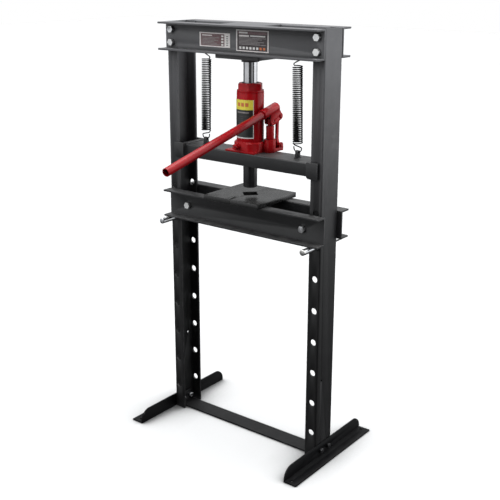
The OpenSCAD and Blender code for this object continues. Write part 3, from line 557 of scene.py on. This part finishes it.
def slab(name, low, high, body, material):
    """A thin sheet with square corners, between two corners given in millimetres."""
    bm = bmesh.new()
    bmesh.ops.create_cube(bm, size=1.0)
    low, high = Vector(low) * MM, Vector(high) * MM
    for v in bm.verts:
        v.co = Vector(l + (h - l) * (c + 0.5) for l, h, c in zip(low, high, v.co))
    return add(name, shaded(bm, name), body, M[material])


def print_flat(label, layers):
    """Prints blocks on a head label. A layer is material, left, right, bottom and top, as shares
    of the label, and how many films lie under it."""
    low, high = (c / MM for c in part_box(label))
    for i, (material, left, right, bottom, top, under) in enumerate(layers):
        front = low.y - under * FILM
        slab(f"{label}_ink_{i:02d}",
             (low.x + left * (high.x - low.x), front - FILM, low.z + bottom * (high.z - low.z)),
             (low.x + right * (high.x - low.x), front, low.z + top * (high.z - low.z)),
             "frame", material)


def bars(material, left, right, bottom, top, count, ragged, under=1):
    """Rows of plain bars, like lines of small print, ending at ragged right-hand sides."""
    step = (top - bottom) / count
    return [(material, left, right - (right - left) * 0.30 * ((i * ragged) % 5) / 4,
             top - step * (i + 0.72), top - step * (i + 0.20), under) for i in range(count)]


print_flat("head_label_left", (
    [("film_maroon", 0.05, 0.82, 0.08, 0.92, 0),
     ("film_white", 0.86, 0.96, 0.08, 0.92, 0),
     ("film_light", 0.09, 0.42, 0.76, 0.84, 1)]
    + bars("film_grey", 0.09, 0.66, 0.12, 0.70, 6, 3)
    + [("film_white", 0.72, 0.79, 0.12 + 0.20 * k, 0.24 + 0.20 * k, 1) for k in range(4)]
    + [("film_grey", 0.88, 0.94, 0.14 + 0.15 * k, 0.22 + 0.15 * k, 1) for k in range(5)]))
print_flat("head_label_right", (
    [("film_dark", 0.035, 0.965, 0.05, 0.95, 0),
     ("film_maroon", 0.06, 0.94, 0.80, 0.93, 1),
     ("film_white", 0.09, 0.36, 0.83, 0.90, 2),
     ("film_light", 0.09, 0.40, 0.68, 0.76, 1),
     ("film_white", 0.44, 0.90, 0.70, 0.76, 1)]
    + bars("film_grey", 0.09, 0.92, 0.30, 0.66, 6, 2)
    + [("film_white" if k < 6 else "film_orange", 0.10 + 0.105 * k, 0.165 + 0.105 * k, 0.11, 0.22, 1)
       for k in range(8)]))


def wrap(name, start, stop, bottom, top, under, material):
    """A printed layer round the tank, between two angles in degrees and two heights."""
    tank = [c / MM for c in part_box("tank_label")]
    inner = (tank[1].x - tank[0].x) / 2 / math.sin(math.radians(LABEL_HALF_TURN)) + under * FILM
    outer = inner + FILM
    bm = bmesh.new()
    count = max(2, int((stop - start) / 2.5))
    rows = []
    for i in range(count + 1):
        a = math.radians(start + (stop - start) * i / count)
        rows.append([bm.verts.new((r * math.cos(a) * MM, r * math.sin(a) * MM, z * MM))
                     for r, z in ((inner, bottom), (outer, bottom), (outer, top), (inner, top))])
    for a, b in zip(rows, rows[1:]):
        for k in range(4):
            bm.faces.new((a[k], a[(k + 1) % 4], b[(k + 1) % 4], b[k]))
    bm.faces.new(rows[0])
    bm.faces.new(rows[-1])
    add(name, shaded(bm, name), "beam_and_jack", M[material])


def print_tank():
    """A yellow band with three blocks over a black field with rows of plain lines."""
    bottom, top = (c.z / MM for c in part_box("tank_label"))
    split = top - YELLOW_BAND
    wrap("tank_label_yellow", -142, -40, split, top, 0, "film_yellow")
    wrap("tank_label_black", -142, -41, bottom + 3.0, split, 0, "film_black")
    for i in range(3):
        wrap(f"tank_label_block_{i}", -112 + 19 * i, -98 + 19 * i, split + 9, split + 19, 1, "film_orange")
    wrap("tank_label_title", -118, -58, split - 9, split - 5.5, 1, "film_grey")
    for i in range(7):
        wrap(f"tank_label_line_{i}", -132, -58 - 9 * (i * 3 % 4), split - 19 - 6 * i, split - 17 - 6 * i,
             1, "film_dark")


print_tank()


# ---------------------------------------------------------------- welds

# Millimetres: how far a bead's middle stands off the corner it fills, and its radius
THROAT = 0.6
HEAVY, MEDIUM, LIGHT, FINE = 2.2, 2.0, 1.8, 1.5


def weld_brackets():
    """Where the two guide brackets meet the beam: across the top and down the front and rear."""
    low, high = (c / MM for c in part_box("moving_beam"))
    half_depth = 38
    for name, x in (("left", low.x + THROAT), ("right", high.x - THROAT)):
        bead(f"weld_bracket_{name}_top", "beam_and_jack",
             [(x, -half_depth, high.z + THROAT), (x, half_depth, high.z + THROAT)], HEAVY)
        for side, y in (("front", low.y - THROAT), ("rear", -low.y + THROAT)):
            bead(f"weld_bracket_{name}_{side}", "beam_and_jack",
                 [(x, y, low.z + 2), (x, y, high.z - 3)], MEDIUM)


def weld_lugs():
    """Round the foot of each spring lug."""
    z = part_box("moving_beam")[1].z / MM + 0.5
    half_x, half_y = 5.0, 8
    for name, side in (("left", -1), ("right", 1)):
        x = side * LUG_X
        corners = [(x + a * half_x, b * half_y, z) for a, b in ((-1, -1), (1, -1), (1, 1), (-1, 1))]
        bead(f"weld_lug_{name}", "beam_and_jack", corners, FINE, closed=True)


def weld_rings():
    """Round the ram under the beam, and round the ring that holds the jack's rod."""
    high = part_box("press_ram")[1] / MM
    bead("weld_ram", "beam_and_jack", ring_points(high.z - THROAT, high.x + 0.8), HEAVY, closed=True)
    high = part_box("ram_cup")[1] / MM
    bead("weld_cup", "frame", ring_points(high.z - THROAT, high.x + THROAT), LIGHT,
         closed=True)


def weld_pressure_plate():
    """Short runs where the pressure plate's ends meet the head channels' flanges."""
    low, high = (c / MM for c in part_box("head_pressure_plate"))
    start, stop = 43, 60        # distances from the middle of the press
    z = high.z - THROAT
    for name, x in (("left", low.x - 0.5), ("right", high.x + 0.5)):
        for side, way in (("front", -1), ("rear", 1)):
            bead(f"weld_plate_{name}_{side}", "frame", [(x, way * start, z), (x, way * stop, z)],
                 LIGHT)


def weld_tank():
    """Round the foot of the jack's tank."""
    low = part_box("jack_tank")[0] / MM
    bead("weld_tank", "beam_and_jack", ring_points(low.z + 0.3, 0.4 - low.x, 96), 1.3,
         closed=True, material="casting")


weld_brackets()
weld_lugs()
weld_rings()
weld_pressure_plate()
weld_tank()


# ---------------------------------------------------------------- floor and light

FLOOR_HALF, FLOOR_Z, DOME_R = 16.0, -0.0005, 24.0   # metres; the floor lies just under the feet


def backdrop(name, bm, color, strength, contact_shadow=0.0):
    """A stage surface that the camera sees, and that neither lights the press nor mirrors in it.
    It carries a painted shadow: darker within the given distance of what stands on it."""
    mesh = bpy.data.meshes.new(name)
    bm.to_mesh(mesh)
    bm.free()
    piece = bpy.data.objects.new(name, mesh)
    bpy.context.scene.collection.objects.link(piece)
    n = Nodes(name)
    shade = n.mix(n.noise(3.0), tint(color, 0.98), color)
    if contact_shadow > 0.0:
        # Painted shadow: the floor is darkened near what stands on it.
        shade = n.mix(n.recess_shade(contact_shadow, 0.97, 0.55), shade, tint(color, 0.25))
    n.shade(base_color=shade, roughness=0.9,
            specular_ior_level=0.0, emission_color=(1, 1, 1, 1), emission_strength=strength)
    piece.data.materials.append(n.mat)
    piece.visible_diffuse = piece.visible_glossy = piece.visible_transmission = False
    piece.visible_shadow = False


def studio_world():
    """Soft light by direction: a wide panel to the front left and one to the right rear, weaker
    light between and behind them, a bright ceiling, and dark below."""
    world = bpy.data.worlds.new("studio")
    world.use_nodes = True
    tree = world.node_tree
    links = tree.links

    def node(kind, **settings):
        made = tree.nodes.new(kind)
        for key, value in settings.items():
            setattr(made, key, value)
        return made

    def ramp(value, low, high, to_low, to_high):
        made = node("ShaderNodeMapRange", interpolation_type="SMOOTHSTEP")
        links.new(value, made.inputs[0])
        for socket, v in zip(made.inputs[1:5], (low, high, to_low, to_high)):
            socket.default_value = v
        return made.outputs[0]

    def combine(operation, a, b):
        made = node("ShaderNodeMath", operation=operation)
        for socket, v in zip(made.inputs, (a, b)):
            if isinstance(v, float):
                socket.default_value = v
            else:
                links.new(v, socket)
        return made.outputs[0]

    direction = node("ShaderNodeTexCoord").outputs["Generated"]
    split = node("ShaderNodeSeparateXYZ")
    links.new(direction, split.inputs[0])
    level = node("ShaderNodeCombineXYZ")
    links.new(split.outputs["X"], level.inputs["X"])
    links.new(split.outputs["Y"], level.inputs["Y"])
    unit = node("ShaderNodeVectorMath", operation="NORMALIZE")
    links.new(level.outputs[0], unit.inputs[0])

    def panel(azimuth, half_width, soft, strength):
        a = math.radians(azimuth)
        dot = node("ShaderNodeVectorMath", operation="DOT_PRODUCT")
        links.new(unit.outputs[0], dot.inputs[0])
        dot.inputs[1].default_value = (math.cos(a), math.sin(a), 0.0)
        low, high = (math.cos(math.radians(half_width + k * soft)) for k in (1, -1))
        return ramp(dot.outputs["Value"], low, high, 0.0, strength)

    sides = combine("ADD", panel(-120, 40, 5, 1.0), panel(38, 32, 5, 1.8))
    sides = combine("ADD", sides, panel(-16, 18, 10, 0.45))
    sides = combine("ADD", sides, panel(125, 60, 20, 0.30))
    sides = combine("MULTIPLY", sides, ramp(split.outputs["Z"], -0.42, 0.02, 0.04, 1.0))
    total = combine("ADD", sides, ramp(split.outputs["Z"], 0.10, 0.85, 0.05, 1.05))
    back = tree.nodes["Background"]
    back.inputs["Color"].default_value = (0.97, 0.985, 1.0, 1)
    links.new(total, back.inputs["Strength"])
    bpy.context.scene.world = world


def softbox(name, place, target, size, power):
    """A square light at a place in metres, turned towards the target."""
    light = bpy.data.lights.new(name, "AREA")
    light.shape, light.size, light.energy = "SQUARE", size, power
    lamp = bpy.data.objects.new(name, light)
    bpy.context.scene.collection.objects.link(lamp)
    lamp.location = place
    lamp.rotation_mode = "QUATERNION"
    lamp.rotation_quaternion = (Vector(target) - Vector(place)).to_track_quat("-Z", "Y")


def overhead(turn, spread, strength):
    """A broad, distant light that leaves soft shadows under the feet."""
    light = bpy.data.lights.new("overhead", "SUN")
    light.angle, light.energy = math.radians(spread), strength
    lamp = bpy.data.objects.new("overhead", light)
    bpy.context.scene.collection.objects.link(lamp)
    lamp.rotation_euler = [math.radians(a) for a in turn]


def studio():
    floor = bmesh.new()
    floor.faces.new([floor.verts.new((x * FLOOR_HALF, y * FLOOR_HALF, FLOOR_Z))
                     for x, y in ((-1, -1), (1, -1), (1, 1), (-1, 1))])
    backdrop("floor", floor, (0.54, 0.54, 0.54), 0.0, 0.12)
    dome = bmesh.new()
    bmesh.ops.create_icosphere(dome, subdivisions=4, radius=DOME_R)
    backdrop("backdrop", dome, (0.0, 0.0, 0.0), 1.0)
    studio_world()
    softbox("top_softbox", (0.2, -0.4, 3.4), (0, 0, 0.8), 2.2, 40)
    softbox("key_softbox", (-1.6, -2.4, 2.6), (0, 0, 0.8), 1.4, 14)
    overhead((-14, -6, 0), 50, 1.6)
    bpy.context.scene.view_settings.view_transform = "Standard"


studio()
